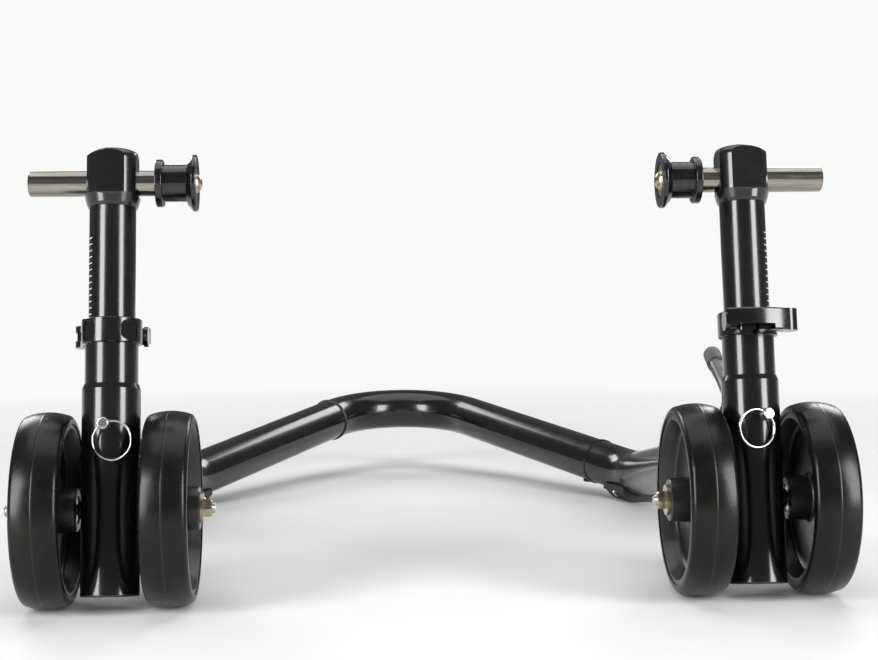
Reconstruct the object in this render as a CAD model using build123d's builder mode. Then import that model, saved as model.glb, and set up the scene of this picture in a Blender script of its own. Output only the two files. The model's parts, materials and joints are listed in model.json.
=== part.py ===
from build123d import *

import math
import os

# Two-post wheel dolly for holding the end of a machine off the floor.
# Two upright legs stand on a pair of wheels each, and a bent tube frame joins them
# and rests on the floor behind. Every post carries a sliding bar with a grooved roller.
# Millimetres, +Z up, +X from the left leg to the right one, +Y towards the frame's arch.
# The origin is the middle of the footprint, on the floor.

os.makedirs("parts", exist_ok=True)

# ---------------------------------------------------------------- driving dimensions
leg_spacing = 500.0
lean = 10.0
axle_y = -399.0
side_sign = {"left": -1, "right": 1}

# Wheels and axles
wheel_r = 75.0
tyre_width = 36.0
crown_drop = 3.6
shoulder_r = 4.8
rim_r = 66.0
rim_width = 34.0
lip_depth = 3.5
barrel_r = 59.0
web_half = 3.5
boss_r = 16.5
hub_length = 44.0
wheel_offset = 46.5
bearing_r = 11.0
bearing_width = 7.0
bearing_inset = 1.0
axle_r = 4.0
axle_half = 80.3
axle_washer_r = 12.0
axle_washer_thickness = 2.0
axle_nut_flats = 13.0
axle_nut_height = 6.8
running_gap = 0.05
face_gap = 0.3

# Leg: heights are measured along the post from the axle
leg_r = 22.5
leg_bore_r = 20.55
leg_bottom = -64.5
leg_top = 96.0
leg_chamfer_height = 4.0
leg_chamfer_depth = 1.6
bush_r = 7.0
bush_half = 22.8
sleeve_r = 20.5
sleeve_bore_r = 18.05
sleeve_bottom = 15.0
sleeve_top = 144.7
sleeve_slot_width = 2.5
sleeve_slot_depth = 17.0
cap_lip = 1.5
cap_plug = 9.0

# Lock pin with its pull ring
pin_up = 64.0
pin_r = 4.0
pin_tail = 27.0
pin_head_r = 4.75
pin_head_length = 8.0
ring_hole_r = 2.35
pull_ring_r = 14.75
pull_wire_r = 1.25
pin_turn = {"left": -5.0, "right": 14.0}
ring_hang = {"left": 27.0, "right": 40.0}

# Quick-release clamp round the sleeve's top
clamp_r = 23.3
clamp_bottom = 127.0
clamp_top = 146.5
clamp_lip = 1.5
ear_half = 15.0
ear_reach = 33.5
ear_height = 15.0
clamp_slot = 3.0
clamp_bolt_r = 3.0
clamp_bolt_v = 28.0
cam_r = 8.5
cam_u = -23.9
cam_barrel_r = 4.0
cam_height = 17.0
lever_relief = 4.5
clamp_nut_r = 6.0
clamp_nut_flange_r = 8.0

# Post, head, bar and roller
post_r = 18.0
post_bore_r = 15.5
post_bottom = 71.0
head_bottom = 235.0
head_r = 22.0
head_flats = 38.0
flat_bottom = 234.0
head_top = 280.6
bar_up = 255.0
bar_r = 10.0
bar_outer = -65.0
bar_shoulder = 33.6
journal_r = 8.0
journal_end = 63.4
spool_start = 34.0
spool_end = 66.0
spool_groove_r = 14.6
spool_small_r = 18.8
spool_large_r = 22.4
spool_counterbore_r = 14.0
spool_counterbore = 2.9
screw_r = 4.0

# Frame
tube_r = 24.15
tube_wall = 2.6
arm_up = 33.0
arm_start = 6.0
corner_back = 527.0
corner_up = 45.0
arch_rise = 8.5
arch_reach = 326.0
arch_bend_r = 100.0
elbow_r = 90.0
seam_run = 8.0
joint_run = 64.0
spigot_r = 21.4
spigot_bore_r = 17.0
spigot_length = 30.0
joint_flange_r = 25.4
joint_flange = 5.0
joint_screw_offset = 18.0
foot_half_length = 24.0
foot_half_width = 24.0
foot_sole_half = 13.0
foot_height = 17.0

# Lock lever on the right arm
lever_back = 52.0
lever_up = 74.0
lever_angle = 35.5
lever_eye_r = 8.0
lever_eye_half = 5.5
lever_rod_r = 5.6
lever_neck_r = 6.8
lever_end = 99.0
lever_ring_at = 76.0
lever_ring_width = 2.2
lever_grip_r = 7.5
lug_half_gap = 6.0
lug_thickness = 4.0

# ---------------------------------------------------------------- derived frames
axle_h = wheel_r
sin_lean = math.sin(math.radians(lean))
cos_lean = math.cos(math.radians(lean))
post_dir = Vector(0, sin_lean, cos_lean)
back_dir = Vector(0, cos_lean, -sin_lean)
boss_inner = wheel_offset - hub_length / 2
boss_outer = wheel_offset + hub_length / 2


def leg_x(side):
    return side_sign[side] * leg_spacing / 2


def post_point(side, u, back, up):
    """A point given in the leg's own frame: u along X, back and up square to and along the post."""
    return Vector(leg_x(side) + u, axle_y, axle_h) + back_dir * back + post_dir * up


def inboard(side):
    return Vector(-side_sign[side], 0, 0)


def leg_plane(side):
    """Plane through the post's axis whose local x points inboard and local y up the post."""
    normal = inboard(side).cross(post_dir)
    return Plane(origin=post_point(side, 0, 0, 0), x_dir=inboard(side), z_dir=normal)


def across(side, up):
    """Plane square to the post at a height; local x points inboard."""
    return Plane(origin=post_point(side, 0, 0, up), x_dir=inboard(side), z_dir=post_dir)


def post_axis(side):
    return Axis(post_point(side, 0, 0, 0), post_dir)


def bar_axis(side):
    return Axis(post_point(side, 0, 0, bar_up), (1, 0, 0))


def wheel_plane(x):
    return Plane(origin=(x, axle_y, axle_h), x_dir=(1, 0, 0), z_dir=(0, -1, 0))


def wheel_axis(x):
    return Axis((x, axle_y, axle_h), (1, 0, 0))


def pin_plane(side):
    """Plane at the pin's height whose normal points out of the leg along the pin."""
    turn = math.radians(pin_turn[side])
    outward = Vector(1, 0, 0) * math.sin(turn) - back_dir * math.cos(turn)
    tangent = Vector(1, 0, 0) * math.cos(turn) + back_dir * math.sin(turn)
    return Plane(origin=post_point(side, 0, 0, pin_up), x_dir=tangent, z_dir=outward)


def keep(builder, label):
    builder.part.label = label
    export_step(builder.part, f"parts/{label}.step")


# ---------------------------------------------------------------- wheels
def make_wheel(name, x):
    half_width = tyre_width / 2
    shoulder_top = wheel_r - crown_drop
    with BuildPart() as tyre:
        with BuildSketch(wheel_plane(x)) as section:
            with BuildLine():
                Polyline(
                    (-half_width, shoulder_top),
                    (-half_width, rim_r),
                    (half_width, rim_r),
                    (half_width, shoulder_top),
                )
                ThreePointArc((half_width, shoulder_top), (0, wheel_r), (-half_width, shoulder_top))
            make_face()
            fillet(section.vertices().filter_by(lambda corner: corner.Y > rim_r + 1), shoulder_r)
        revolve(axis=wheel_axis(x))
    keep(tyre, f"{name}_tyre")

    rim_half = rim_width / 2
    boss_half = hub_length / 2
    seat = boss_half - bearing_inset - bearing_width
    quarter = [
        (0, bearing_r - 4),
        (seat, bearing_r - 4),
        (seat, bearing_r + 0.02),
        (boss_half, bearing_r + 0.02),
        (boss_half, boss_r),
        (web_half, boss_r + 1.5),
        (web_half, barrel_r),
        (rim_half, rim_r - lip_depth),
        (rim_half, rim_r - running_gap),
        (0, rim_r - running_gap),
    ]
    with BuildPart() as hub:
        with BuildSketch(wheel_plane(x)) as section:
            with BuildLine():
                Polyline(*quarter, close=True)
            make_face()
            mirror(about=Plane.YZ)
            fillet(section.vertices().filter_by(lambda corner: abs(abs(corner.X) - web_half) < 0.01), 3)
        revolve(axis=wheel_axis(x))
        rims = hub.edges().filter_by(GeomType.CIRCLE)
        chamfer(rims.filter_by(lambda rim: abs(rim.radius - boss_r) < 0.01), 0.8)
    keep(hub, f"{name}_hub")

    with BuildPart() as bearings:
        with BuildSketch(wheel_plane(x)):
            for sign in (-1, 1):
                with Locations((sign * (seat + bearing_width / 2 + running_gap), (bearing_r + axle_r) / 2)):
                    Rectangle(bearing_width - 2 * running_gap, bearing_r - axle_r - 2 * running_gap)
        revolve(axis=wheel_axis(x))
    keep(bearings, f"{name}_bearings")


# ---------------------------------------------------------------- axle set
def make_axle(side):
    x = leg_x(side)
    with BuildPart() as axle:
        with BuildSketch(Plane(origin=(x - axle_half, axle_y, axle_h), z_dir=(1, 0, 0))):
            Circle(axle_r)
        extrude(amount=2 * axle_half)
        chamfer(axle.edges().filter_by(GeomType.CIRCLE), 0.8)
    keep(axle, f"{side}_axle")

    washer_start = boss_outer + face_gap
    nut_start = washer_start + axle_washer_thickness + running_gap
    washer_faces = [
        (washer_start, washer_start + axle_washer_thickness, axle_washer_r),
        (bush_half + running_gap, boss_inner - face_gap, bush_r),
    ]
    with BuildPart() as axle_washers:
        with BuildSketch(wheel_plane(x)):
            for sign in (-1, 1):
                for start, end, radius in washer_faces:
                    with Locations((sign * (start + end) / 2, (radius + axle_r + running_gap) / 2)):
                        Rectangle(end - start, radius - axle_r - running_gap)
        revolve(axis=wheel_axis(x))
    keep(axle_washers, f"{side}_axle_washers")

    with BuildPart() as axle_nuts:
        for sign in (-1, 1):
            start = x + sign * nut_start
            with BuildSketch(Plane(origin=(start, axle_y, axle_h), x_dir=(0, 1, 0), z_dir=(sign, 0, 0))):
                RegularPolygon(axle_nut_flats / 2, 6, major_radius=False)
                Circle(axle_r + running_gap, mode=Mode.SUBTRACT)
            extrude(amount=axle_nut_height)
        with BuildSketch(wheel_plane(x)):
            for sign in (-1, 1):
                corner = axle_nut_flats / math.sqrt(3)
                near = sign * (nut_start - 1)
                far = sign * (nut_start + axle_nut_height)
                with BuildLine():
                    Polyline(
                        (near, 0),
                        (near, corner + 1),
                        (far - sign * 1.4, corner + 1),
                        (far - sign * 1.4, corner + 0.1),
                        (far, corner - 1.6),
                        (far, 0),
                        close=True,
                    )
                make_face()
        revolve(axis=wheel_axis(x), mode=Mode.INTERSECT)
    keep(axle_nuts, f"{side}_axle_nuts")


# ---------------------------------------------------------------- leg tube, sleeve and foot cap
def make_leg(side):
    with BuildPart() as leg_tube:
        with BuildSketch(leg_plane(side)):
            with BuildLine():
                Polyline(
                    (leg_bore_r, leg_bottom),
                    (leg_r, leg_bottom),
                    (leg_r, leg_top - leg_chamfer_height),
                    (leg_r - leg_chamfer_depth, leg_top),
                    (leg_bore_r, leg_top),
                    close=True,
                )
            make_face()
        revolve(axis=post_axis(side))
        bush_start = leg_x(side) - bush_half
        with BuildSketch(Plane(origin=(bush_start, axle_y, axle_h), z_dir=(1, 0, 0))):
            Circle(bush_r)
        extrude(amount=2 * bush_half)
        with BuildSketch(Plane(origin=(bush_start, axle_y, axle_h), z_dir=(1, 0, 0))):
            Circle(axle_r + running_gap)
        extrude(amount=2 * bush_half, mode=Mode.SUBTRACT)
        with BuildSketch(pin_plane(side).offset(-leg_r - 5)):
            Circle(pin_r + running_gap)
        extrude(amount=2 * leg_r + 10, mode=Mode.SUBTRACT)
    keep(leg_tube, f"{side}_leg_tube")

    with BuildPart() as sleeve:
        with BuildSketch(across(side, sleeve_bottom)):
            Circle(sleeve_r)
            Circle(sleeve_bore_r, mode=Mode.SUBTRACT)
        extrude(amount=sleeve_top - sleeve_bottom)
        with BuildSketch(across(side, sleeve_top)):
            with Locations((0, sleeve_r)):
                Rectangle(sleeve_slot_width, 2 * (sleeve_r - sleeve_bore_r) + 6)
        extrude(amount=-sleeve_slot_depth, mode=Mode.SUBTRACT)
        with BuildSketch(pin_plane(side).offset(-leg_r - 5)):
            Circle(pin_r + running_gap)
        extrude(amount=2 * leg_r + 10, mode=Mode.SUBTRACT)
    keep(sleeve, f"{side}_sleeve")

    with BuildPart() as leg_cap:
        with BuildSketch(leg_plane(side)):
            with BuildLine():
                Polyline(
                    (0, leg_bottom - cap_lip),
                    (leg_r - 0.8, leg_bottom - cap_lip),
                    (leg_r, leg_bottom - cap_lip + 0.8),
                    (leg_r, leg_bottom - running_gap),
                    (leg_bore_r - running_gap, leg_bottom - running_gap),
                    (leg_bore_r - running_gap, leg_bottom + cap_plug),
                    (leg_bore_r - 2.5, leg_bottom + cap_plug),
                    (leg_bore_r - 2.5, leg_bottom + 1.5),
                    (0, leg_bottom + 1.5),
                    close=True,
                )
            make_face()
        revolve(axis=post_axis(side))
    keep(leg_cap, f"{side}_leg_cap")


# ---------------------------------------------------------------- lock pin and pull ring
def make_lock_pin(side):
    plane = pin_plane(side)
    head_start = leg_r + 0.1
    hole_at = head_start + pin_head_length / 2
    hang = math.radians(ring_hang[side])
    to_ring = plane.x_dir * (-side_sign[side] * math.sin(hang)) - plane.y_dir * math.cos(hang)
    along_hole = plane.z_dir.cross(to_ring)
    hole_centre = plane.origin + plane.z_dir * hole_at
    with BuildPart() as lock_pin:
        with BuildSketch(plane.offset(-pin_tail)):
            Circle(pin_r)
        extrude(amount=pin_tail + head_start)
        with BuildSketch(plane.offset(head_start)):
            Circle(pin_head_r)
        extrude(amount=pin_head_length)
        pin_axis = Axis(plane.origin, plane.z_dir)
        ends = lock_pin.faces().filter_by(pin_axis).sort_by(pin_axis)
        fillet(ends[-1].edges(), 1.5)
        chamfer(ends[0].edges(), 1.0)
        with BuildSketch(Plane(origin=hole_centre - along_hole * 8, z_dir=along_hole)):
            Circle(ring_hole_r)
        extrude(amount=16, mode=Mode.SUBTRACT)
    keep(lock_pin, f"{side}_lock_pin")

    with BuildPart(Plane(origin=hole_centre + to_ring * pull_ring_r, z_dir=plane.z_dir)) as pull_ring:
        Torus(pull_ring_r, pull_wire_r)
    keep(pull_ring, f"{side}_pull_ring")


# ---------------------------------------------------------------- quick-release clamp
def make_clamp(side):
    ear_bottom = (clamp_bottom + clamp_top - ear_height) / 2
    middle = ear_bottom + ear_height / 2
    with BuildPart() as clamp_collar:
        with BuildSketch(across(side, clamp_bottom)):
            Circle(clamp_r)
        extrude(amount=clamp_top - clamp_bottom)
        chamfer(clamp_collar.edges().filter_by(GeomType.CIRCLE), 0.7)
        with BuildSketch(across(side, ear_bottom)) as ears:
            with Locations((0, ear_reach / 2)):
                Rectangle(2 * ear_half, ear_reach)
            fillet(ears.vertices().group_by(Axis.Y)[-1], 5)
        extrude(amount=ear_height)
        with BuildSketch(across(side, clamp_bottom - 1)):
            Circle(sleeve_r + running_gap)
        extrude(amount=clamp_top - clamp_lip - clamp_bottom + 1, mode=Mode.SUBTRACT)
        with BuildSketch(across(side, clamp_bottom - 1)):
            Circle(post_r + face_gap)
            with Locations((0, ear_reach / 2 + post_r / 2)):
                Rectangle(clamp_slot, ear_reach)
        extrude(amount=clamp_top - clamp_bottom + 2, mode=Mode.SUBTRACT)
        bolt_centre = post_point(side, 0, 0, middle) + across(side, 0).y_dir * clamp_bolt_v
        with BuildSketch(Plane(origin=bolt_centre - inboard(side) * (ear_half + 1), z_dir=inboard(side))):
            Circle(clamp_bolt_r + 0.2)
        extrude(amount=2 * ear_half + 2, mode=Mode.SUBTRACT)
        # Two shallow scoops opposite the ears
        for angle in (-44, 44):
            scoop = math.radians(angle)
            local = across(side, middle)
            outward = local.x_dir * math.sin(scoop) - local.y_dir * math.cos(scoop)
            with BuildSketch(Plane(origin=local.origin + outward * (clamp_r - 1.9), x_dir=post_dir, z_dir=outward)):
                RectangleRounded(15, 15, 4.5)
            extrude(amount=5, mode=Mode.SUBTRACT)
    keep(clamp_collar, f"{side}_clamp_collar")

    v_dir = across(side, 0).y_dir
    barrel_base = post_point(side, 0, 0, middle - cam_height / 2) + inboard(side) * cam_u + v_dir * clamp_bolt_v
    with BuildPart() as clamp_bolt:
        with BuildSketch(Plane(origin=barrel_base, z_dir=post_dir)):
            Circle(cam_barrel_r)
        extrude(amount=cam_height)
        with BuildSketch(Plane(origin=bolt_centre + inboard(side) * cam_u, z_dir=inboard(side))):
            Circle(clamp_bolt_r)
        extrude(amount=ear_half + 7.5 - cam_u)
        with BuildSketch(Plane(origin=bolt_centre + inboard(side) * (ear_half + 0.1), z_dir=inboard(side))):
            Circle(clamp_nut_r)
        extrude(amount=6.5)
        with BuildSketch(Plane(origin=bolt_centre + inboard(side) * (ear_half + 6.6), z_dir=inboard(side))):
            Circle(clamp_nut_flange_r)
        extrude(amount=3.4)
    keep(clamp_bolt, f"{side}_clamp_bolt")

    lever_plane = across(side, middle - cam_height / 2)
    with BuildPart() as clamp_lever:
        with BuildSketch(lever_plane):
            with Locations((cam_u, clamp_bolt_v)):
                Circle(cam_r)
            with BuildLine():
                inner = ThreePointArc((cam_u + 2, ear_reach + 1), (0, ear_reach + 5), (24, ear_reach + 3.6))
                outer = ThreePointArc((25, ear_reach + 7.6), (0, ear_reach + 10), (cam_u - 6.5, clamp_bolt_v + 5))
                Line(inner @ 1, outer @ 0)
                Line(outer @ 1, inner @ 0)
            make_face()
        extrude(amount=cam_height)
        with BuildSketch(lever_plane):
            with Locations((cam_u, clamp_bolt_v)):
                Circle(cam_barrel_r + running_gap)
        extrude(amount=cam_height, mode=Mode.SUBTRACT)
        with BuildSketch(across(side, middle - clamp_bolt_r - 0.4)):
            with Locations((cam_u, clamp_bolt_v + clamp_bolt_r + 0.4 - 10)):
                Rectangle(40, 20)
        extrude(amount=2 * clamp_bolt_r + 0.8, mode=Mode.SUBTRACT)
        flats = clamp_lever.faces().filter_by(post_axis(side)).group_by(post_axis(side))
        for flat in (flats[0], flats[-1]):
            chamfer(flat.edges().filter_by(GeomType.CIRCLE).sort_by(SortBy.LENGTH)[-1], 1.2)
        with BuildSketch(lever_plane):
            with Locations((ear_half - 6, ear_reach + 6)):
                Rectangle(2 * ear_half + 12, 14)
        extrude(amount=lever_relief, mode=Mode.SUBTRACT)
    keep(clamp_lever, f"{side}_clamp_lever")


# ---------------------------------------------------------------- post tube and head
def make_post(side):
    with BuildPart() as post_tube:
        with BuildSketch(across(side, post_bottom)):
            Circle(post_r)
            Circle(post_bore_r, mode=Mode.SUBTRACT)
        extrude(amount=head_bottom - post_bottom)
    keep(post_tube, f"{side}_post_tube")

    with BuildPart() as head:
        with BuildSketch(leg_plane(side)):
            with BuildLine():
                Polyline(
                    (0, head_bottom - 15),
                    (post_bore_r - 1, head_bottom - 15),
                    (post_bore_r - running_gap, head_bottom - 14),
                    (post_bore_r - running_gap, head_bottom + running_gap),
                    (post_r + 1.2, head_bottom + running_gap),
                    (head_r - 1.8, head_bottom + 2.5),
                    (head_r, head_bottom + 10),
                    (head_r, head_top),
                    (0, head_top),
                    close=True,
                )
            make_face()
        revolve(axis=post_axis(side))
        fillet(head.edges().filter_by(GeomType.CIRCLE).sort_by(post_axis(side))[-1], 8)
        for normal in (inboard(side), -inboard(side), back_dir, -back_dir):
            away = Plane(origin=post_point(side, 0, 0, 0), x_dir=normal, z_dir=normal.cross(post_dir))
            with BuildSketch(away):
                with BuildLine():
                    Polyline(
                        (head_flats / 2, flat_bottom + 11),
                        (head_flats / 2, head_top + 5),
                        (head_r + 8, head_top + 5),
                        (head_r + 8, flat_bottom),
                        close=True,
                    )
                make_face()
            extrude(amount=head_r, both=True, mode=Mode.SUBTRACT)
        bore_start = post_point(side, 0, 0, bar_up) - inboard(side) * (head_r + 1)
        with BuildSketch(Plane(origin=bore_start, z_dir=inboard(side))):
            Circle(bar_r + running_gap)
        extrude(amount=2 * head_r + 2, mode=Mode.SUBTRACT)
        with BuildSketch(Plane(origin=post_point(side, 0, 0, bar_up), z_dir=back_dir)):
            Circle(screw_r + running_gap)
        extrude(amount=head_r + 1, mode=Mode.SUBTRACT)
    keep(head, f"{side}_head")

    with BuildPart() as head_screw:
        with BuildSketch(Plane(origin=post_point(side, 0, bar_r + 0.2, bar_up), z_dir=back_dir)):
            Circle(screw_r)
        extrude(amount=8)
        with BuildSketch(Plane(origin=post_point(side, 0, bar_r + 4.2, bar_up), z_dir=back_dir)):
            RegularPolygon(2, 6, major_radius=False)
        extrude(amount=5, mode=Mode.SUBTRACT)
    keep(head_screw, f"{side}_head_screw")


# ---------------------------------------------------------------- sliding bar, roller and end screw
def make_bar(side):
    def along(distance):
        return post_point(side, 0, 0, bar_up) + inboard(side) * distance

    with BuildPart() as slide_bar:
        with BuildSketch(leg_plane(side)):
            with BuildLine():
                Polyline(
                    (bar_outer, bar_up),
                    (bar_outer, bar_up + bar_r - 1.2),
                    (bar_outer + 1.2, bar_up + bar_r),
                    (bar_shoulder, bar_up + bar_r),
                    (bar_shoulder, bar_up + journal_r),
                    (journal_end, bar_up + journal_r),
                    (journal_end, bar_up),
                    close=True,
                )
            make_face()
        revolve(axis=bar_axis(side))
        with BuildSketch(Plane(origin=along(journal_end), z_dir=inboard(side))):
            Circle(screw_r + running_gap)
        extrude(amount=-20, mode=Mode.SUBTRACT)
    keep(slide_bar, f"{side}_slide_bar")

    groove_start = spool_start + 5.5
    groove_end = spool_start + 23.8
    counterbore_floor = spool_end - spool_counterbore
    with BuildPart() as spool:
        with BuildSketch(leg_plane(side)) as section:
            with BuildLine():
                Polyline(
                    (spool_start, bar_up + journal_r + running_gap),
                    (spool_start, bar_up + spool_small_r),
                    (groove_start, bar_up + spool_small_r),
                    (groove_start, bar_up + spool_groove_r),
                    (groove_end, bar_up + spool_groove_r),
                    (groove_end + 0.6, bar_up + spool_small_r - 1.2),
                    (spool_end - 3.2, bar_up + spool_large_r),
                    (spool_end, bar_up + spool_large_r),
                    (spool_end, bar_up + spool_counterbore_r),
                    (counterbore_floor, bar_up + spool_counterbore_r),
                    (counterbore_floor, bar_up + journal_r + running_gap),
                    close=True,
                )
            make_face()
            top_corners = section.vertices().filter_by(lambda corner: corner.Y > bar_up + spool_groove_r + 1)
            fillet(top_corners, 0.9)
        revolve(axis=bar_axis(side))
        # Two fine rings turned in the groove's floor
        for offset in (5.0, 12.0):
            with BuildSketch(leg_plane(side)):
                with Locations((groove_start + offset, bar_up + spool_groove_r)):
                    Rectangle(0.8, 0.8)
            revolve(axis=bar_axis(side), mode=Mode.SUBTRACT)
    keep(spool, f"{side}_spool")

    washer_start = journal_end + running_gap
    head_start = washer_start + 1.8 + running_gap
    with BuildPart() as spool_screw:
        with BuildSketch(Plane(origin=along(washer_start), z_dir=inboard(side))):
            Circle(spool_counterbore_r - 1)
            Circle(screw_r + 0.3, mode=Mode.SUBTRACT)
        extrude(amount=1.8)
        with BuildSketch(Plane(origin=along(journal_end - 16), z_dir=inboard(side))):
            Circle(screw_r)
        extrude(amount=head_start - journal_end + 16)
        with BuildSketch(leg_plane(side)):
            with BuildLine():
                base = Line((head_start, bar_up), (head_start, bar_up + 8))
                crown = ThreePointArc(base @ 1, (head_start + 3, bar_up + 5.6), (head_start + 4.2, bar_up))
                Line(crown @ 1, base @ 0)
            make_face()
        revolve(axis=bar_axis(side))
        with BuildSketch(Plane(origin=along(head_start + 1.5), z_dir=inboard(side))):
            RegularPolygon(2.5, 6, major_radius=False)
        extrude(amount=5, mode=Mode.SUBTRACT)
    keep(spool_screw, f"{side}_spool_screw")


# ---------------------------------------------------------------- frame geometry
def corner_point(side):
    corner = post_point(side, 0, corner_back, corner_up)
    return Vector(leg_x(side), corner.Y, corner.Z)


arch_up = Vector(0, math.cos(math.radians(arch_rise)), math.sin(math.radians(arch_rise)))
half_spread = leg_spacing / 2


def vertex_distance():
    """Distance from the line of the corners to the point where the two straight runs would meet."""
    distance = arch_reach
    for _ in range(60):
        half_angle = math.atan2(half_spread, distance)
        distance = arch_reach + arch_bend_r * (1 / math.sin(half_angle) - 1)
    return distance


vertex = (corner_point("left") + corner_point("right")) * 0.5 + arch_up * vertex_distance()
tangent_run = arch_bend_r * vertex_distance() / half_spread


def run_direction(side):
    return (vertex - corner_point(side)).normalized()


seam_point = vertex - run_direction("left") * (tangent_run + seam_run)
joint_point = corner_point("right") + run_direction("right") * joint_run
joint_half = joint_flange / 2 + running_gap


def arm_points(side):
    start = post_point(side, 0, arm_start, arm_up)
    end = seam_point - run_direction("left") * running_gap
    if side == "right":
        end = joint_point - run_direction("right") * joint_half
    return [start, corner_point(side), end]


def arch_points():
    start = seam_point
    end = joint_point + run_direction("right") * joint_half
    return [start, vertex, end]


def swept_tube(points, bend_r, outer_r, inner_r):
    """A round tube, or a solid rod where inner_r is 0, swept along two runs joined by one bend."""
    with BuildPart() as tube:
        with BuildLine() as path:
            FilletPolyline(*points, radius=bend_r)
        with BuildSketch(Plane(origin=path.line @ 0, z_dir=path.line % 0)):
            Circle(outer_r)
            if inner_r > 0:
                Circle(inner_r, mode=Mode.SUBTRACT)
        sweep(path=path.line)
    return tube.part


def elbow_arc(side):
    with BuildLine() as path:
        FilletPolyline(*arm_points(side), radius=elbow_r)
    return path.edges().filter_by(GeomType.CIRCLE)[0]


def foot_plane(side):
    """Upright plane across the elbow at its middle, on the floor; local y points up."""
    arc = elbow_arc(side)
    middle = arc @ 0.5
    heading = arc % 0.5
    if heading.Y < 0:
        heading = -heading
    flat = Vector(heading.X, heading.Y, 0).normalized()
    return Plane(origin=(middle.X, middle.Y, 0), x_dir=(-flat.Y, flat.X, 0), z_dir=flat)


def foot_screw_plane(side):
    """Plane square to the foot screw, on the elbow's centreline; its normal points down and inboard."""
    upright = foot_plane(side)
    centre = elbow_arc(side) @ 0.5
    direction = upright.x_dir * side_sign[side] * math.sqrt(0.5) - upright.y_dir * math.sqrt(0.5)
    return Plane(origin=centre, z_dir=direction)


def joint_screw_plane(offset):
    direction = run_direction("right")
    down = Vector(0, 0, -1)
    square = (down - direction * down.dot(direction)).normalized()
    return Plane(origin=joint_point + direction * offset, z_dir=square)


def make_arm(side):
    with BuildPart() as arm_tube:
        add(swept_tube(arm_points(side), elbow_r, tube_r, tube_r - tube_wall))
        with BuildSketch(across(side, arm_up - 60)):
            Circle(leg_r + running_gap)
        extrude(amount=120, mode=Mode.SUBTRACT)
        with BuildSketch(foot_screw_plane(side)):
            Circle(1.9)
        extrude(amount=tube_r + 2, mode=Mode.SUBTRACT)
        if side == "right":
            with BuildSketch(joint_screw_plane(-joint_screw_offset)):
                Circle(3.1)
            extrude(amount=tube_r + 2, mode=Mode.SUBTRACT)
    keep(arm_tube, f"{side}_arm_tube")


def make_arch():
    with BuildPart() as arch_tube:
        add(swept_tube(arch_points(), arch_bend_r, tube_r, tube_r - tube_wall))
        with BuildSketch(joint_screw_plane(joint_screw_offset)):
            Circle(3.1)
        extrude(amount=tube_r + 2, mode=Mode.SUBTRACT)
    keep(arch_tube, "arch_tube")


def make_frame_joint():
    direction = run_direction("right")
    with BuildPart() as joint_spigot:
        with BuildSketch(Plane(origin=joint_point - direction * spigot_length, z_dir=direction)):
            Circle(spigot_r)
        extrude(amount=2 * spigot_length)
        chamfer(joint_spigot.edges().filter_by(GeomType.CIRCLE), 1.2)
        with BuildSketch(Plane(origin=joint_point - direction * joint_flange / 2, z_dir=direction)):
            Circle(joint_flange_r)
        extrude(amount=joint_flange)
        flange_rims = joint_spigot.edges().filter_by(GeomType.CIRCLE)
        chamfer(flange_rims.filter_by(lambda rim: abs(rim.radius - joint_flange_r) < 0.01), 1.1)
        with BuildSketch(Plane(origin=joint_point - direction * spigot_length, z_dir=direction)):
            Circle(spigot_bore_r)
        extrude(amount=2 * spigot_length, mode=Mode.SUBTRACT)
        for offset in (-joint_screw_offset, joint_screw_offset):
            with BuildSketch(joint_screw_plane(offset)):
                Circle(3.05)
            extrude(amount=tube_r, mode=Mode.SUBTRACT)
    keep(joint_spigot, "joint_spigot")

    with BuildPart() as joint_screws:
        for offset in (-joint_screw_offset, joint_screw_offset):
            with BuildSketch(joint_screw_plane(offset).offset(spigot_bore_r + 0.5)):
                Circle(3)
            extrude(amount=tube_r - spigot_bore_r + 1)
            with BuildSketch(joint_screw_plane(offset).offset(tube_r + 0.1)):
                Circle(5.2)
            extrude(amount=2.8)
            with BuildSketch(joint_screw_plane(offset).offset(tube_r + 1.2)):
                RegularPolygon(2, 6, major_radius=False)
            extrude(amount=3, mode=Mode.SUBTRACT)
    keep(joint_screws, "joint_screws")


def make_feet():
    with BuildPart() as foot_pads:
        for side in side_sign:
            with BuildSketch(foot_plane(side)):
                with BuildLine():
                    Polyline(
                        (-foot_sole_half, 0),
                        (foot_sole_half, 0),
                        (foot_half_width, foot_half_width - foot_sole_half),
                        (foot_half_width, foot_height),
                        (-foot_half_width, foot_height),
                        (-foot_half_width, foot_half_width - foot_sole_half),
                        close=True,
                    )
                make_face()
            extrude(amount=foot_half_length, both=True)
            add(swept_tube(arm_points(side), elbow_r, tube_r + 0.1, 0), mode=Mode.SUBTRACT)
            with BuildSketch(foot_screw_plane(side)):
                Circle(1.9)
            extrude(amount=tube_r + 20, mode=Mode.SUBTRACT)
    keep(foot_pads, "foot_pads")

    with BuildPart() as foot_screws:
        for side in side_sign:
            sole = foot_screw_plane(side)
            axis_h = sole.origin.Z
            facet = (axis_h + foot_sole_half) * math.sqrt(0.5)
            with BuildSketch(sole.offset(tube_r - tube_wall - 2)):
                Circle(1.8)
            extrude(amount=facet - tube_r + tube_wall + 2.2)
            with BuildSketch(sole.offset(facet + 0.1)):
                Circle(3.6)
            extrude(amount=2.2)
            with BuildSketch(sole.offset(facet + 1.2)):
                Rectangle(4.4, 0.9)
                Rectangle(0.9, 4.4)
            extrude(amount=3, mode=Mode.SUBTRACT)
    keep(foot_screws, "foot_screws")


# ---------------------------------------------------------------- lock lever on the right arm
lever_turn = math.radians(lever_angle)
lever_dir = back_dir * math.cos(lever_turn) + post_dir * math.sin(lever_turn)
lever_pivot = post_point("right", 0, lever_back, lever_up)
lever_plane = Plane(origin=lever_pivot, x_dir=lever_dir, z_dir=(1, 0, 0))
lever_axis = Axis(lever_pivot, lever_dir)


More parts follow.
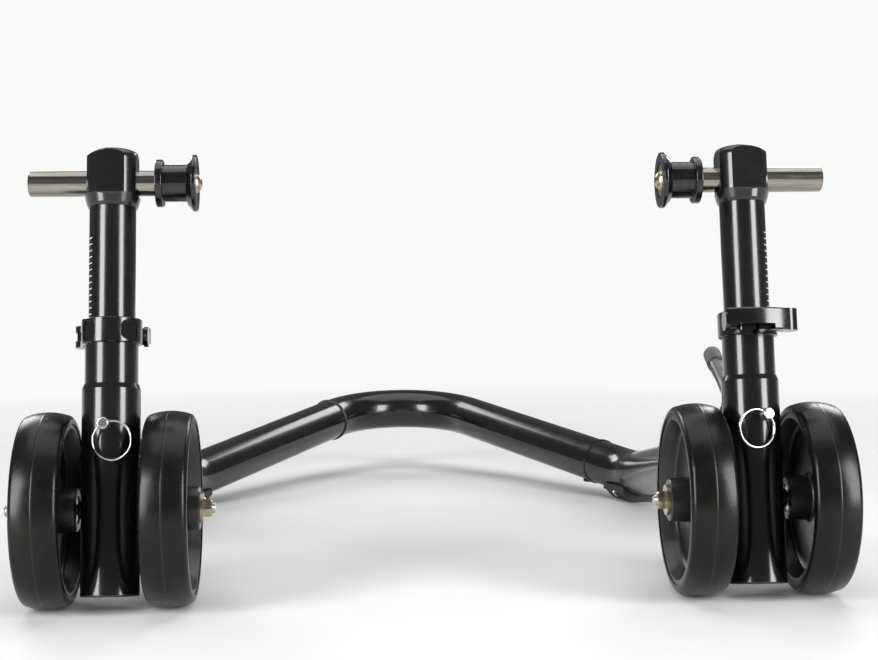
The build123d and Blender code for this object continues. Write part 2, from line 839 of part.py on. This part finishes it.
def make_lock_lever():
    with BuildPart() as lever_lugs:
        for sign in (-1, 1):
            inner_x = sign * lug_half_gap
            lug_plane = Plane(origin=post_point("right", inner_x, 0, 0), x_dir=back_dir, z_dir=(1, 0, 0))
            with BuildSketch(lug_plane):
                with Locations((lever_back, lever_up)):
                    Circle(lever_eye_r + 1)
                with Locations((lever_back, lever_up - 10)):
                    Rectangle(2 * lever_eye_r + 2, 20)
                with Locations((lever_back, lever_up)):
                    Circle(3 + running_gap, mode=Mode.SUBTRACT)
            extrude(amount=sign * lug_thickness)
        add(swept_tube(arm_points("right"), elbow_r, tube_r + running_gap, 0), mode=Mode.SUBTRACT)
    keep(lever_lugs, "lever_lugs")

    half_pin = lug_half_gap + lug_thickness + 2.5
    with BuildPart() as lever_pin:
        with BuildSketch(Plane(origin=lever_pivot - Vector(half_pin, 0, 0), z_dir=(1, 0, 0))):
            Circle(3)
        extrude(amount=2 * half_pin)
        chamfer(lever_pin.edges().filter_by(GeomType.CIRCLE), 0.6)
    keep(lever_pin, "lever_pin")

    neck_end = lever_ring_at - 0.2
    with BuildPart() as lock_lever:
        with BuildSketch(lever_plane):
            with BuildLine():
                Polyline(
                    (0, 0),
                    (0, lever_rod_r),
                    (neck_end - 24, lever_rod_r),
                    (neck_end, lever_neck_r),
                    (neck_end, 5),
                    (lever_end - 5, 5),
                    (lever_end - 5, 0),
                    close=True,
                )
            make_face()
        revolve(axis=lever_axis)
        with BuildSketch(Plane(origin=lever_pivot - Vector(lever_eye_half, 0, 0), z_dir=(1, 0, 0))):
            Circle(lever_eye_r)
        extrude(amount=2 * lever_eye_half)
        with BuildSketch(Plane(origin=lever_pivot - Vector(10, 0, 0), z_dir=(1, 0, 0))):
            Circle(3 + running_gap)
        extrude(amount=20, mode=Mode.SUBTRACT)
    keep(lock_lever, "lock_lever")

    with BuildPart() as lever_ring:
        with BuildSketch(lever_plane) as section:
            with Locations((lever_ring_at + lever_ring_width / 2, (5 + running_gap + lever_grip_r) / 2)):
                Rectangle(lever_ring_width, lever_grip_r - 5 - running_gap)
            fillet(section.vertices().group_by(Axis.Y)[-1], 0.9)
        revolve(axis=lever_axis)
    keep(lever_ring, "lever_ring")

    grip_start = lever_ring_at + lever_ring_width + 0.1
    with BuildPart() as lever_grip:
        with BuildSketch(lever_plane):
            with BuildLine():
                Polyline(
                    (lever_end, 0),
                    (lever_end - 4.9, 0),
                    (lever_end - 4.9, 5 + running_gap),
                    (grip_start, 5 + running_gap),
                    (grip_start, lever_grip_r),
                    (lever_end, lever_grip_r),
                    close=True,
                )
            make_face()
        revolve(axis=lever_axis)
        fillet(lever_grip.edges().filter_by(GeomType.CIRCLE).sort_by(lever_axis)[-1], 4)
    keep(lever_grip, "lever_grip")


# ---------------------------------------------------------------- build everything
for side, sign in side_sign.items():
    make_leg(side)
    make_axle(side)
    make_wheel(f"{side}_outer_wheel", leg_x(side) + sign * wheel_offset)
    make_wheel(f"{side}_inner_wheel", leg_x(side) - sign * wheel_offset)
    make_lock_pin(side)
    make_clamp(side)
    make_post(side)
    make_bar(side)
    make_arm(side)
make_arch()
make_frame_joint()
make_feet()
make_lock_lever()
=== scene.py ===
import json
import math

import bmesh
import bpy
from mathutils import Matrix, Vector


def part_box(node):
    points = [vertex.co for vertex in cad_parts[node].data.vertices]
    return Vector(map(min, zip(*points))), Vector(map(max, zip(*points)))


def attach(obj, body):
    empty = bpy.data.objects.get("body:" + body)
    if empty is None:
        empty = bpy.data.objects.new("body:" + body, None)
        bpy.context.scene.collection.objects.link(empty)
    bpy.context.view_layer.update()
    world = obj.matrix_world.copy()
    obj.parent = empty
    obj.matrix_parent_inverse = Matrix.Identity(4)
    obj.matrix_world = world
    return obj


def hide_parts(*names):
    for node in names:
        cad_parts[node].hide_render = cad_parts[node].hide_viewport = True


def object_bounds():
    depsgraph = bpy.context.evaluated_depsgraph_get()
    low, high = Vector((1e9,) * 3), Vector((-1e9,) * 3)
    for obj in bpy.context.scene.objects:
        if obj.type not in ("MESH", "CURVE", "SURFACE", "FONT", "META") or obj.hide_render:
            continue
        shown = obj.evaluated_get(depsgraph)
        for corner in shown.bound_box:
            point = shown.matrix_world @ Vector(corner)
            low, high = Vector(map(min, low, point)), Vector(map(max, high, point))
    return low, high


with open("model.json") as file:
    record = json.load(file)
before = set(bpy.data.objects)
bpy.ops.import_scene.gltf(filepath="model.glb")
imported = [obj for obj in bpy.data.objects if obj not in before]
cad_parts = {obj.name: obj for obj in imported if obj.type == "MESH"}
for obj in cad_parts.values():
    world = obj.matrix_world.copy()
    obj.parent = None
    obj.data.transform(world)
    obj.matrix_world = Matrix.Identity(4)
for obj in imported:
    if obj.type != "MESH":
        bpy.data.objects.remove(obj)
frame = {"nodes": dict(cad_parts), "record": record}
cad_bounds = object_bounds()

# ---------------------------------------------------------- the leg's own frame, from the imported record
joints = {j["name"]: j for j in frame["record"]["behaviour"]["joints"]}
SIDES = {"left": -1, "right": 1}
UP = Vector(joints["left_post_lift"]["axis"]).normalized()
BACK = Vector((0, UP.z, -UP.y))
LEG_X = abs(joints["left_clamp_turn"]["pos_m"][0])


def axle_point():
    low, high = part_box("left_axle")
    return Vector((0, (low[1] + high[1]) / 2, (low[2] + high[2]) / 2))


AXLE = axle_point()


def leg_point(side, u, back, up):
    """Metres: u along X from the leg's axis, back and up in the leg's leaning frame, from the axle."""
    return Vector((SIDES[side] * LEG_X + u, AXLE.y, AXLE.z)) + BACK * back + UP * up


# ------------------------------------------------------------------ camera
camera_data = bpy.data.cameras.new("camera")
camera_data.lens = 67.56
camera_data.sensor_width = 36
camera_data.clip_start = 0.01
camera_data.clip_end = 100
camera = bpy.data.objects.new("camera", camera_data)
bpy.context.scene.collection.objects.link(camera)
aim = Matrix.Rotation(math.radians(-3.22), 4, "Z") @ Matrix.Rotation(math.radians(90 - 2.22), 4, "X")
aim = aim @ Matrix.Rotation(math.radians(-0.53), 4, "Z")
camera.matrix_world = Matrix.Translation((-0.068, AXLE.y - 1.269, 0.259)) @ aim
bpy.context.scene.camera = camera
bpy.context.scene.view_settings.view_transform = "Standard"


# ------------------------------------------------------------------ shader helpers
class Nodes:
    """A material's node tree with short calls for the nodes used here."""

    def __init__(self, name):
        self.material = bpy.data.materials.new(name)
        self.material.use_nodes = True
        self.tree = self.material.node_tree
        self.shader = self.tree.nodes["Principled BSDF"]
        self.coords = self.tree.nodes.new("ShaderNodeTexCoord").outputs["Object"]
        self.bump_chain = None

    def link(self, a, b):
        self.tree.links.new(a, b)

    def set(self, **values):
        for key, value in values.items():
            self.shader.inputs[key.replace("_", " ")].default_value = value

    def stretched(self, x, y, z):
        node = self.tree.nodes.new("ShaderNodeMapping")
        node.inputs["Scale"].default_value = (x, y, z)
        self.link(self.coords, node.inputs["Vector"])
        return node.outputs["Vector"]

    def noise(self, scale, detail=4.0, rough=0.55, vector=None):
        node = self.tree.nodes.new("ShaderNodeTexNoise")
        node.inputs["Scale"].default_value = scale
        node.inputs["Detail"].default_value = detail
        node.inputs["Roughness"].default_value = rough
        self.link(vector or self.coords, node.inputs["Vector"])
        return node.outputs["Fac"]

    def ramp(self, value, *stops):
        node = self.tree.nodes.new("ShaderNodeValToRGB")
        elements = node.color_ramp.elements
        while len(elements) < len(stops):
            elements.new(0.5)
        for element, (at, colour) in zip(elements, stops):
            element.position = at
            element.color = (*colour, 1) if len(colour) == 3 else colour
        self.link(value, node.inputs["Fac"])
        return node.outputs["Color"]

    def math(self, operation, a, b=0.0, clamp=False):
        node = self.tree.nodes.new("ShaderNodeMath")
        node.operation = operation
        node.use_clamp = clamp
        for socket, value in zip(node.inputs, (a, b)):
            if isinstance(value, (int, float)):
                socket.default_value = value
            else:
                self.link(value, socket)
        return node.outputs[0]

    def range(self, value, low, high, to_low, to_high):
        node = self.tree.nodes.new("ShaderNodeMapRange")
        for key, number in (("From Min", low), ("From Max", high), ("To Min", to_low), ("To Max", to_high)):
            node.inputs[key].default_value = number
        self.link(value, node.inputs["Value"])
        return node.outputs["Result"]

    def mix(self, factor, a, b):
        node = self.tree.nodes.new("ShaderNodeMix")
        node.data_type = "RGBA"
        self.link(factor, node.inputs["Factor"])
        for socket, value in ((node.inputs[6], a), (node.inputs[7], b)):
            if isinstance(value, tuple):
                socket.default_value = (*value, 1)
            else:
                self.link(value, socket)
        return node.outputs[2]

    def split(self):
        node = self.tree.nodes.new("ShaderNodeSeparateXYZ")
        self.link(self.coords, node.inputs[0])
        return node.outputs

    def colour(self, socket):
        self.link(socket, self.shader.inputs["Base Color"])

    def rough(self, socket):
        self.link(socket, self.shader.inputs["Roughness"])

    def bump(self, height, strength, distance=0.001):
        node = self.tree.nodes.new("ShaderNodeBump")
        node.inputs["Strength"].default_value = strength
        node.inputs["Distance"].default_value = distance
        self.link(height, node.inputs["Height"])
        if self.bump_chain:
            self.link(self.bump_chain, node.inputs["Normal"])
        self.bump_chain = node.outputs["Normal"]
        self.link(self.bump_chain, self.shader.inputs["Normal"])


def powder_coat():
    n = Nodes("gloss_black_powder_coat")
    cloud = n.noise(14, 5)
    n.colour(n.ramp(cloud, (0.3, (0.0035, 0.0035, 0.004)), (0.7, (0.006, 0.006, 0.0065))))
    scuff = n.noise(38, 6, 0.62)
    n.rough(n.range(scuff, 0.3, 0.75, 0.17, 0.27))
    n.set(Coat_Weight=0.4, Coat_Roughness=0.09, Specular_IOR_Level=0.42)
    n.bump(n.noise(620, 1), 0.03, 0.0003)
    n.bump(n.noise(60, 2), 0.03, 0.0008)
    return n.material


def tyre_rubber():
    n = Nodes("satin_tyre_rubber")
    x = n.split()[0]
    from_leg = n.math("SUBTRACT", n.math("ABSOLUTE", x), LEG_X)
    from_middle = n.math("ABSOLUTE", n.math("SUBTRACT", n.math("ABSOLUTE", from_leg), 0.0465))
    waver = n.math("MULTIPLY", n.noise(90, 2), 0.0006)
    seam = n.range(n.math("ADD", from_middle, waver), 0.0006, 0.0013, 1, 0)
    blotch = n.noise(22, 6, 0.65)
    base = n.ramp(
        blotch,
        (0.3, (0.003, 0.0028, 0.0026)),
        (0.55, (0.0045, 0.0041, 0.0037)),
        (0.8, (0.0085, 0.0074, 0.0064)),
    )
    tread = n.range(from_middle, 0.0075, 0.0145, 1, 0)
    worn = n.math("MULTIPLY", tread, n.range(n.noise(48, 8, 0.7), 0.45, 0.72, 0, 0.55))
    dusty = n.mix(worn, base, (0.0098, 0.0086, 0.0075))
    n.colour(n.mix(n.math("MULTIPLY", seam, 0.5), dusty, (0.024, 0.02, 0.017)))
    n.rough(n.range(n.noise(60, 6, 0.7), 0.3, 0.75, 0.2, 0.34))
    n.set(Specular_IOR_Level=0.26)
    n.bump(seam, 0.35, 0.0005)
    n.bump(n.noise(260, 6, 0.7), 0.1, 0.0005)
    lines = n.noise(160, 3, 0.6, n.stretched(4.0, 0.5, 0.5))
    n.bump(lines, 0.06, 0.0004)
    return n.material


def moulded(name, dark, light, rough_low, rough_high, grain):
    n = Nodes(name)
    n.colour(n.ramp(n.noise(35, 5), (0.3, dark), (0.75, light)))
    n.rough(n.range(n.noise(80, 6, 0.7), 0.3, 0.75, rough_low, rough_high))
    n.bump(n.noise(420, 4, 0.7), grain, 0.0005)
    n.bump(n.noise(40, 3), 0.06, 0.001)
    return n.material


def hub_plastic():
    n = Nodes("hub_moulded_plastic")
    _, y, z = n.split()
    dy = n.math("SUBTRACT", y, AXLE.y)
    dz = n.math("SUBTRACT", z, AXLE.z)
    radius = n.math("SQRT", n.math("ADD", n.math("MULTIPLY", dy, dy), n.math("MULTIPLY", dz, dz)))
    base = n.ramp(n.noise(30, 5), (0.3, (0.006, 0.006, 0.0065)), (0.75, (0.012, 0.0118, 0.0115)))
    # The rim lip is painted lighter in noise-broken patches: a painted highlight on the lip's rounded edge, not
    # dust
    lip = n.range(radius, 0.0595, 0.0625, 0, 1)
    lip_highlight = n.math("MULTIPLY", lip, n.range(n.noise(70, 7, 0.7), 0.35, 0.7, 0, 0.5))
    n.colour(n.mix(lip_highlight, base, (0.045, 0.04, 0.036)))
    n.rough(n.range(n.noise(75, 6, 0.7), 0.3, 0.75, 0.26, 0.42))
    n.set(Coat_Weight=0.25, Coat_Roughness=0.2)
    n.bump(n.math("SINE", n.math("MULTIPLY", radius, 5200.0)), 0.05, 0.0003)
    n.bump(n.noise(330, 4), 0.1, 0.0004)
    return n.material


def metal(name, dark, light, rough_low, rough_high, stretch, scale, grain=0.12, anisotropic=0.0):
    n = Nodes(name)
    streak = n.noise(scale, 4, 0.6, n.stretched(*stretch))
    n.colour(n.mix(n.range(streak, 0.3, 0.7, 0, 1), dark, light))
    n.set(Metallic=1.0, Anisotropic=anisotropic)
    n.rough(n.range(n.noise(scale * 0.4, 6, 0.7), 0.3, 0.75, rough_low, rough_high))
    n.bump(streak, grain, 0.0003)
    return n.material


def yellow_zinc():
    n = Nodes("yellow_zinc_plate")
    film = n.noise(95, 3, 0.5)
    tint = n.ramp(film, (0.25, (0.36, 0.29, 0.19)), (0.5, (0.52, 0.46, 0.34)), (0.75, (0.46, 0.43, 0.38)))
    x = n.split()[0]
    from_leg = n.math("ABSOLUTE", n.math("SUBTRACT", n.math("ABSOLUTE", x), LEG_X))
    # The spacers between leg and wheel are painted near-black by position; the washers and nuts outside the
    # wheels are plated
    n.colour(n.mix(n.range(from_leg, 0.026, 0.03, 1, 0), tint, (0.012, 0.012, 0.012)))
    n.set(Metallic=1.0)
    n.rough(n.range(n.noise(220, 5, 0.7), 0.3, 0.75, 0.18, 0.36))
    n.bump(n.noise(600, 3), 0.12, 0.0003)
    return n.material


def anodised(name, ring_scale=0.0):
    n = Nodes(name)
    n.colour(n.ramp(n.noise(50, 5), (0.3, (0.0026, 0.0026, 0.0031)), (0.75, (0.005, 0.005, 0.0058))))
    n.set(Specular_IOR_Level=0.5, Coat_Weight=0.35, Coat_Roughness=0.1)
    n.rough(n.range(n.noise(110, 6, 0.7), 0.3, 0.75, 0.14, 0.24))
    if ring_scale:
        x = n.split()[0]
        n.bump(n.math("SINE", n.math("MULTIPLY", x, ring_scale)), 0.04, 0.0002)
    n.bump(n.noise(520, 3), 0.1, 0.0003)
    return n.material


def threaded():
    n = Nodes("bright_threaded_steel")
    x = n.split()[0]
    n.colour(n.mix(n.noise(140, 4), (0.55, 0.54, 0.52), (0.8, 0.79, 0.77)))
    n.set(Metallic=1.0)
    n.rough(n.range(n.noise(200, 4), 0.3, 0.7, 0.2, 0.35))
    n.bump(n.math("SINE", n.math("MULTIPLY", x, 5030.0)), 0.5, 0.0006)
    return n.material


def grip_rubber():
    n = Nodes("grey_dipped_grip")
    n.colour(n.ramp(n.noise(60, 6, 0.7), (0.3, (0.055, 0.055, 0.057)), (0.75, (0.1, 0.1, 0.1))))
    n.rough(n.range(n.noise(130, 6, 0.7), 0.3, 0.75, 0.5, 0.7))
    n.bump(n.noise(360, 5, 0.7), 0.25, 0.0006)
    return n.material


materials = {
    "frame_black": powder_coat(),
    "clamp_black": anodised("black_anodised_clamp"),
    "spool_black": anodised("black_anodised_spool", 9000.0),
    "tyre": tyre_rubber(),
    "hub": hub_plastic(),
    "bearing_steel": metal(
        "ground_bearing_steel", (0.35, 0.35, 0.35), (0.6, 0.6, 0.6), 0.2, 0.35, (1, 1, 1), 160
    ),
    "yellow_zinc": yellow_zinc(),
    "bright_steel": metal(
        "bright_zinc_plate", (0.62, 0.62, 0.63), (0.86, 0.86, 0.86), 0.12, 0.26, (1, 1, 1), 150, 0.08
    ),
    "polished_bar": metal(
        "polished_round_bar", (0.24, 0.222, 0.196), (0.4, 0.377, 0.34), 0.12, 0.2, (0.4, 5, 5), 90, 0.035, 0.4
    ),
    "dark_screw": metal(
        "black_oxide_steel", (0.018, 0.018, 0.02), (0.04, 0.04, 0.042), 0.26, 0.4, (1, 1, 1), 200
    ),
    "cap_plastic": moulded(
        "leg_cap_plastic", (0.012, 0.012, 0.012), (0.022, 0.022, 0.021), 0.4, 0.6, 0.2
    ),
    "foot_rubber": moulded(
        "foot_moulded_rubber", (0.014, 0.014, 0.014), (0.03, 0.029, 0.028), 0.55, 0.8, 0.4
    ),
    "seal_rubber": moulded(
        "seal_ring_rubber", (0.008, 0.008, 0.008), (0.016, 0.016, 0.016), 0.4, 0.55, 0.15
    ),
    "lever_steel": metal(
        "brushed_lever_steel", (0.11, 0.11, 0.11), (0.21, 0.205, 0.2), 0.34, 0.5, (1, 1, 1), 120
    ),
    "grip_grey": grip_rubber(),
    "threaded": threaded(),
}
by_node = {entry["node"]: entry["material_slot"] for entry in frame["record"]["subparts"]}
for node, obj in frame["nodes"].items():
    material = materials[by_node[node]]
    if node.endswith("_axle"):
        material = materials["threaded"]
    obj.data.materials.clear()
    obj.data.materials.append(material)
    for polygon in obj.data.polygons:
        polygon.use_smooth = True


# ------------------------------------------------------------------ mesh helpers
def add_mesh(name, bm, material, body, smooth=True):
    mesh = bpy.data.meshes.new(name)
    bm.to_mesh(mesh)
    bm.free()
    for polygon in mesh.polygons:
        polygon.use_smooth = smooth
    obj = bpy.data.objects.new(name, mesh)
    bpy.context.scene.collection.objects.link(obj)
    mesh.materials.append(material)
    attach(obj, body)
    return obj


def tube_along(bm, points, radii, sides=10, closed=False):
    """A round-section skin along points, with one radius per point."""
    count = len(points)
    rings = []
    normal = None
    for i, point in enumerate(points):
        before = points[(i - 1) % count] if closed or i else points[i]
        after = points[(i + 1) % count] if closed or i < count - 1 else points[i]
        tangent = (after - before).normalized()
        if normal is None:
            normal = tangent.orthogonal().normalized()
        normal = (normal - tangent * normal.dot(tangent)).normalized()
        other = tangent.cross(normal)
        ring = []
        for k in range(sides):
            angle = 2 * math.pi * k / sides
            ring.append(bm.verts.new(point + (normal * math.cos(angle) + other * math.sin(angle)) * radii[i]))
        rings.append(ring)
    spans = count if closed else count - 1
    for i in range(spans):
        a, b = rings[i], rings[(i + 1) % count]
        shift = 0
        if closed and i == count - 1:
            shift = min(range(sides), key=lambda s: (a[0].co - b[s].co).length)
        for k in range(sides):
            bm.faces.new((a[k], a[(k + 1) % sides], b[(k + 1 + shift) % sides], b[(k + shift) % sides]))
    if not closed:
        bm.faces.new(list(reversed(rings[0])))
        bm.faces.new(rings[-1])
    bmesh.ops.recalc_face_normals(bm, faces=bm.faces[:])


def weld_bead(name, points, radius, body):
    """A closed bead whose size ripples along its path, as a stack of weld pools does."""
    total = sum((points[i] - points[i - 1]).length for i in range(len(points)))
    pools = round(total / 0.0024)
    radii = []
    for i in range(len(points)):
        phase = (i / len(points) * pools) % 1
        radii.append(radius * (0.86 + 0.14 * math.sin(math.pi * phase)))
    bm = bmesh.new()
    tube_along(bm, points, radii, 10, True)
    obj = add_mesh(name, bm, materials["frame_black"], body)


# ------------------------------------------------------------------ welds
ARM_R = 0.02415
for side in SIDES:
    points = []
    for k in range(420):
        angle = 2 * math.pi * k / 420
        u = ARM_R * math.sin(angle)
        back = max(0.0075, math.sqrt(max(0.0226 ** 2 - u * u, 0)) + 0.0006)
        points.append(leg_point(side, u, back, 0.033 + (ARM_R + 0.0004) * math.cos(angle) + 0.0005))
    weld_bead(f"{side}_leg_weld", points, 0.0021, "root")

# The seam where the left arm runs into the arch
CORNER = {side: leg_point(side, 0, 0.527, 0.045) for side in SIDES}
RISE = math.radians(8.5)
ARCH_UP = Vector((0, math.cos(RISE), math.sin(RISE)))
reach = 0.326
for step in range(60):
    reach = 0.326 + 0.1 * (1 / math.sin(math.atan2(LEG_X, reach)) - 1)
VERTEX = (CORNER["left"] + CORNER["right"]) / 2 + ARCH_UP * reach
run = (VERTEX - CORNER["left"]).normalized()
seam = VERTEX - run * (0.1 * reach / LEG_X + 0.008)
across = run.orthogonal().normalized()
around = run.cross(across)
points = []
for k in range(360):
    angle = 2 * math.pi * k / 360
    points.append(seam + (across * math.cos(angle) + around * math.sin(angle)) * 0.0241)
weld_bead("left_seam_weld", points, 0.0019, "root")


# ------------------------------------------------------------------ thread crests on the axles' bare ends
for side in SIDES:
    low, high = (Vector(corner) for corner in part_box(f"{side}_axle"))
    bm = bmesh.new()
    for end, inward in ((low.x, 1), (high.x, -1)):
        for pitch in range(3):
            x = end + inward * (0.0009 + pitch * 0.0007)
            ring = []
            for k in range(48):
                angle = 2 * math.pi * k / 48
                ring.append(Vector((x, AXLE.y + 0.0039 * math.cos(angle), AXLE.z + 0.0039 * math.sin(angle))))
            tube_along(bm, ring, [0.00022] * 48, 6, True)
    obj = add_mesh(f"{side}_axle_threads", bm, materials["threaded"], "root")

# ------------------------------------------------------------------ knurling round the clamps' nuts
KNURL_START = 0.0393  # inboard of the cam's own axis
KNURL_RIDGES = 30
KNURL_FOOT_R = 0.00585
KNURL_CREST_R = 0.0064
KNURL_HALF_WIDTH = 0.00042
for side, sign in SIDES.items():
    ear_dir = BACK * -sign
    eye = Vector(joints[f"{side}_cam_open"]["pos_m"])
    inward = Vector((-sign, 0, 0))
    centre = eye + inward * KNURL_START
    bm = bmesh.new()
    for k in range(KNURL_RIDGES):
        angle = 2 * math.pi * k / KNURL_RIDGES
        out = ear_dir * math.cos(angle) + UP * math.sin(angle)
        side_step = ear_dir * -math.sin(angle) + UP * math.cos(angle)
        corners = []
        for along in (0.0002, 0.0058):
            for offset, height in (
                (-KNURL_HALF_WIDTH, KNURL_FOOT_R),
                (0.0, KNURL_CREST_R),
                (KNURL_HALF_WIDTH, KNURL_FOOT_R),
            ):
                corners.append(bm.verts.new(centre + inward * along + out * height + side_step * offset))
        for face in ((0, 1, 4, 3), (1, 2, 5, 4), (2, 0, 3, 5), (0, 2, 1), (3, 4, 5)):
            bm.faces.new([corners[i] for i in face])
    bmesh.ops.recalc_face_normals(bm, faces=bm.faces[:])
    obj = add_mesh(f"{side}_clamp_knurl", bm, materials["clamp_black"], f"{side}_clamp", smooth=False)


# ---------------------------------------------------------- pale height marks, a film just proud of the posts
def paint_marks():
    n = Nodes("pale_filled_marks")
    n.colour(n.mix(n.noise(300, 4), (0.36, 0.36, 0.35), (0.62, 0.62, 0.6)))
    n.rough(n.range(n.noise(240, 4), 0.3, 0.7, 0.45, 0.65))
    n.bump(n.noise(900, 3), 0.15, 0.0003)
    return n.material


marks_material = paint_marks()
POST_R = 0.018
MARK_COUNT = 13
MARK_FIRST = 0.1495
MARK_PITCH = 0.005
MARK_HEIGHT = 0.0009
MARK_ROOT_R = POST_R - 0.0002
MARK_FACE_R = POST_R + 0.00012
MARK_SECTION = (
    (MARK_ROOT_R, 0.0),
    (MARK_FACE_R, 0.0),
    (MARK_FACE_R, MARK_HEIGHT),
    (MARK_ROOT_R, MARK_HEIGHT),
)
for side, sign in SIDES.items():
    bm = bmesh.new()
    for index in range(MARK_COUNT):
        up = MARK_FIRST + index * MARK_PITCH
        span = math.radians(40 if index % 2 == 0 else 26)
        start = math.radians(38)
        rows = []
        for step in range(9):
            angle = start - span * step / 8
            # angle 0 points outboard; positive turns towards the front
            u = sign * math.cos(angle)
            back = -math.sin(angle)
            column = []
            for radius, rise in MARK_SECTION:
                column.append(bm.verts.new(leg_point(side, u * radius, back * radius, up + rise)))
            rows.append(column)
        for a, b in zip(rows, rows[1:]):
            for k in range(3):
                bm.faces.new((a[k], a[k + 1], b[k + 1], b[k]))
        bm.faces.new(rows[0])
        bm.faces.new(list(reversed(rows[-1])))
    bmesh.ops.recalc_face_normals(bm, faces=bm.faces[:])
    obj = add_mesh(f"{side}_height_marks", bm, marks_material, f"{side}_post", smooth=False)


# ------------------------------------------------------------------ split rings in place of the plain CAD rings
RING_R = 0.01475
RING_WIRE_R = 0.00068
RING_TURNS = 2.06
RING_STEPS = 150
for side in SIDES:
    low, high = (Vector(corner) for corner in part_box(f"{side}_pull_ring"))
    centre = (low + high) / 2
    hole = Vector(joints[f"{side}_ring_flip"]["pos_m"])
    outward = Vector(joints[f"{side}_pin_pull"]["axis"]).normalized()
    towards = centre - hole
    towards = (towards - outward * towards.dot(outward)).normalized()
    sideways = outward.cross(towards)
    middle = hole + towards * RING_R
    points = []
    for k in range(RING_STEPS + 1):
        share = k / RING_STEPS
        angle = 2 * math.pi * RING_TURNS * share + math.radians(150)
        # The two turns lie side by side except for the short step where one passes to the other
        crossing = min(max((share - 0.47) / 0.06, 0), 1)
        offset = (crossing - 0.5) * 2 * RING_WIRE_R * 1.02
        around_ring = towards * math.cos(angle) + sideways * math.sin(angle)
        points.append(middle + around_ring * RING_R + outward * offset)
    bm = bmesh.new()
    tube_along(bm, points, [RING_WIRE_R] * len(points), 12)
    obj = add_mesh(f"{side}_split_ring", bm, materials["bright_steel"], f"{side}_ring")
    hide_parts(f"{side}_pull_ring")


# ------------------------------------------------------------------ floor and light
floor_mesh = bmesh.new()
bmesh.ops.create_circle(floor_mesh, cap_ends=True, segments=96, radius=30)
floor_data = bpy.data.meshes.new("floor")
floor_mesh.to_mesh(floor_data)
floor_mesh.free()
floor = bpy.data.objects.new("floor", floor_data)
floor.location.z = cad_bounds[0][2] - 0.0002
bpy.context.scene.collection.objects.link(floor)
n = Nodes("pale_floor")
n.colour(n.ramp(n.noise(3, 3), (0.3, (0.74, 0.74, 0.73)), (0.7, (0.78, 0.78, 0.77))))
n.rough(n.range(n.noise(8, 3), 0.3, 0.7, 0.6, 0.7))
# Far from the object the floor fades into the pale surroundings
fx, fy, _ = n.split()
distance = n.math("SQRT", n.math("ADD", n.math("MULTIPLY", fx, fx), n.math("MULTIPLY", fy, fy)))
glow = n.tree.nodes.new("ShaderNodeEmission")
glow.inputs["Color"].default_value = (0.94, 0.95, 0.94, 1)
fade = n.tree.nodes.new("ShaderNodeMixShader")
n.link(n.range(distance, 0.85, 1.9, 0, 1), fade.inputs[0])
n.link(n.shader.outputs[0], fade.inputs[1])
n.link(glow.outputs[0], fade.inputs[2])
n.link(fade.outputs[0], n.tree.nodes["Material Output"].inputs["Surface"])
floor_data.materials.append(n.material)


def softbox(name, location, target, width, height, power):
    data = bpy.data.lights.new(name, "AREA")
    data.shape = "RECTANGLE"
    data.size = width
    data.size_y = height
    data.energy = power
    obj = bpy.data.objects.new(name, data)
    bpy.context.scene.collection.objects.link(obj)
    obj.location = location
    obj.rotation_euler = (Vector(target) - Vector(location)).to_track_quat("-Z", "Y").to_euler()


for side, sign in SIDES.items():
    softbox(f"strip_{side}", (sign * 1.6, AXLE.y - 1.3, 0.8), (sign * 0.1, AXLE.y, 0.2), 0.8, 1.5, 52)
softbox("overhead", (0, 0.2, 2.4), (0, 0, 0), 2.4, 2.4, 27)
for side, sign in SIDES.items():
    softbox(f"back_{side}", (sign * 1.3, 1.9, 1.5), (0, 0.2, 0.1), 0.9, 0.9, 16)

world = bpy.data.worlds.new("studio")
bpy.context.scene.world = world
world.use_nodes = True
tree = world.node_tree
ambient = tree.nodes["Background"]
ambient.inputs["Color"].default_value = (0.92, 0.95, 1.0, 1)
ambient.inputs["Strength"].default_value = 0.17
seen = tree.nodes.new("ShaderNodeBackground")
seen.inputs["Color"].default_value = (0.94, 0.95, 0.94, 1)
seen.inputs["Strength"].default_value = 1.0
path = tree.nodes.new("ShaderNodeLightPath")
blend = tree.nodes.new("ShaderNodeMixShader")
tree.links.new(path.outputs["Is Camera Ray"], blend.inputs[0])
tree.links.new(ambient.outputs[0], blend.inputs[1])
tree.links.new(seen.outputs[0], blend.inputs[2])
tree.links.new(blend.outputs[0], tree.nodes["World Output"].inputs[0])
